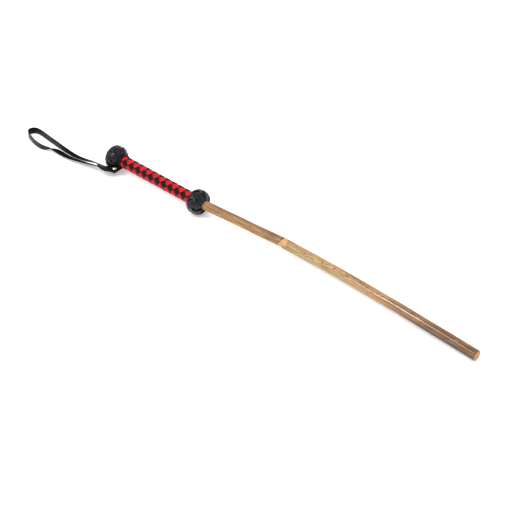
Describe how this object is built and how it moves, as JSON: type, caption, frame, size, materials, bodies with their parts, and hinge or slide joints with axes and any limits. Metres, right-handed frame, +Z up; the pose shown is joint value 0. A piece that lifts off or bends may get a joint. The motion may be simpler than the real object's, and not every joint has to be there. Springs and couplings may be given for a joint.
{
  "type": "rattan cane with plaited leather grip",
  "caption": "Slim rattan cane with a two-colour plaited leather grip, knotted pommel and guard, and a riveted leather wrist strap.",
  "frame": {"origin": "middle of the plaited grip, on the cane's axis", "axes": "+X along the grip towards the tip, +Z up from the surface that the cane lies on, 17 mm below the axis"},
  "size_m": [0.7471, 0.0596, 0.0343],
  "materials": {
    "rattan": "satin, natural skin with a growth node",
    "black_lace_leather": "smooth flat lace, semi-gloss",
    "red_lace_leather": "smooth flat lace, semi-gloss",
    "black_knot_leather": "plaited flat lace, semi-gloss",
    "black_strap_leather": "grained strap leather with cut edges",
    "nickel_rivet": "nickel plated, polished",
    "turned_wood": "plain turned, hidden",
    "linen_thread": "waxed linen thread, hidden",
    "steel_nail": "plain"
  },
  "bodies": {
    "cane": {"rattan_shaft": "rattan", "black_lace_1": "black_lace_leather", "black_lace_2": "black_lace_leather", "black_lace_3": "black_lace_leather", "black_lace_4": "black_lace_leather", "red_lace_1": "red_lace_leather", "red_lace_2": "red_lace_leather", "red_lace_3": "red_lace_leather", "red_lace_4": "red_lace_leather", "rear_whipping": "linen_thread", "front_whipping": "linen_thread", "pommel_core": "turned_wood", "pommel_knot": "black_knot_leather", "pommel_nail": "steel_nail", "guard_core": "turned_wood", "guard_knot": "black_knot_leather"},
    "collar": {"collar_band": "black_strap_leather", "rivet_cap": "nickel_rivet", "rivet_post": "nickel_rivet"},
    "wrist_strap": {"wrist_strap": "black_strap_leather"}
  },
  "joints": [
    {"name": "collar_turn", "type": "hinge", "parent": "cane", "child": "collar", "pos_m": [-0.067, 0, 0], "axis": [1, 0, 0], "continuous": true},
    {"name": "strap_pivot", "type": "hinge", "parent": "collar", "child": "wrist_strap", "pos_m": [-0.067, -0.0168, -0.0055], "axis": [0, 0, 1], "range_deg": [0, 160]}
  ]
}
